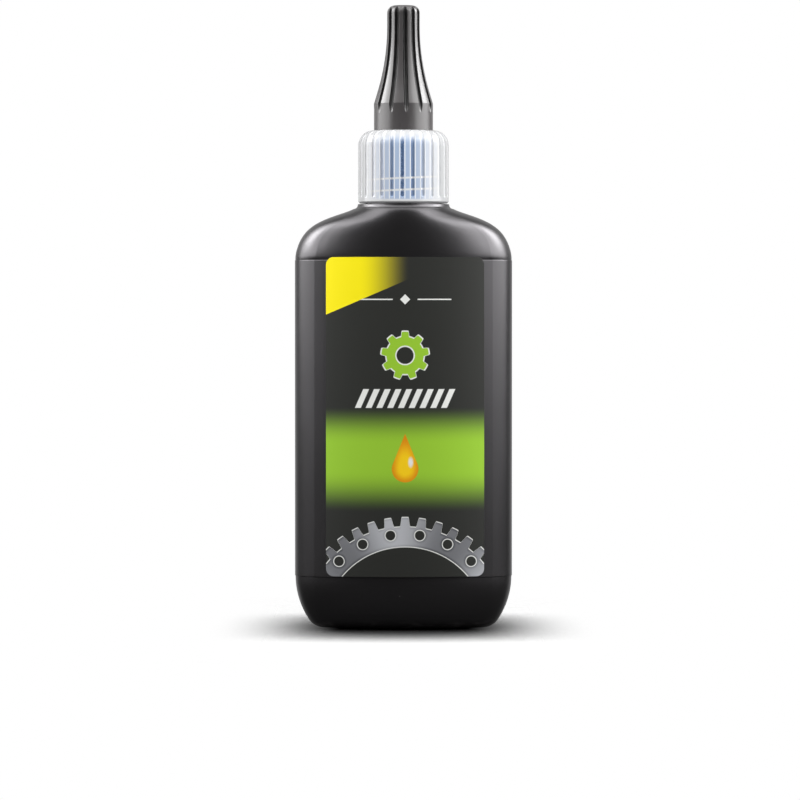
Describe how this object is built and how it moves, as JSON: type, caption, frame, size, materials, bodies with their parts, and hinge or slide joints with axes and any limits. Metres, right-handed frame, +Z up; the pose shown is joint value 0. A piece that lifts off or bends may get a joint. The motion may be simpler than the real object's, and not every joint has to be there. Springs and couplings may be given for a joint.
{
  "type": "squeeze bottle with drip spout",
  "caption": "Flat oval plastic squeeze bottle for lubricant, with a ribbed translucent screw closure, a drip spout under a fluted push-on tip cap and a plain coloured front label.",
  "frame": {"origin": "on the ground, under the middle of the bottle", "axes": "+Z up along the neck, +X to the right across the wide side, the label faces -Y"},
  "size_m": [0.056, 0.0282, 0.1602],
  "materials": {
    "bottle_plastic": "satin black",
    "label_film": "printed film, dark grey with a green band and a yellow corner",
    "washer_foam": "white foam",
    "closure_plastic": "milky, translucent",
    "tip_plastic": "satin black"
  },
  "bodies": {
    "bottle_body": {"bottle": "bottle_plastic", "front_label": "label_film"},
    "washer_body": {"seal_washer": "washer_foam"},
    "closure_body": {"closure": "closure_plastic"},
    "tip_body": {"tip_cap": "tip_plastic"}
  },
  "joints": [
    {"name": "closure_lift", "type": "slide", "parent": "bottle_body", "child": "washer_body", "axis": [0, 0, 1], "range_m": [0, 0.0045]},
    {"name": "closure_turn", "type": "hinge", "parent": "washer_body", "child": "closure_body", "pos_m": [0, 0, 0.1165], "axis": [0, 0, 1], "range_deg": [0, 540]},
    {"name": "tip_cap_pull", "type": "slide", "parent": "closure_body", "child": "tip_body", "axis": [0, 0, 1], "range_m": [0, 0.04]}
  ],
  "couplings": [
    {"joint": "closure_lift", "follows": "closure_turn", "m_per_rad": 0.00047746}
  ]
}
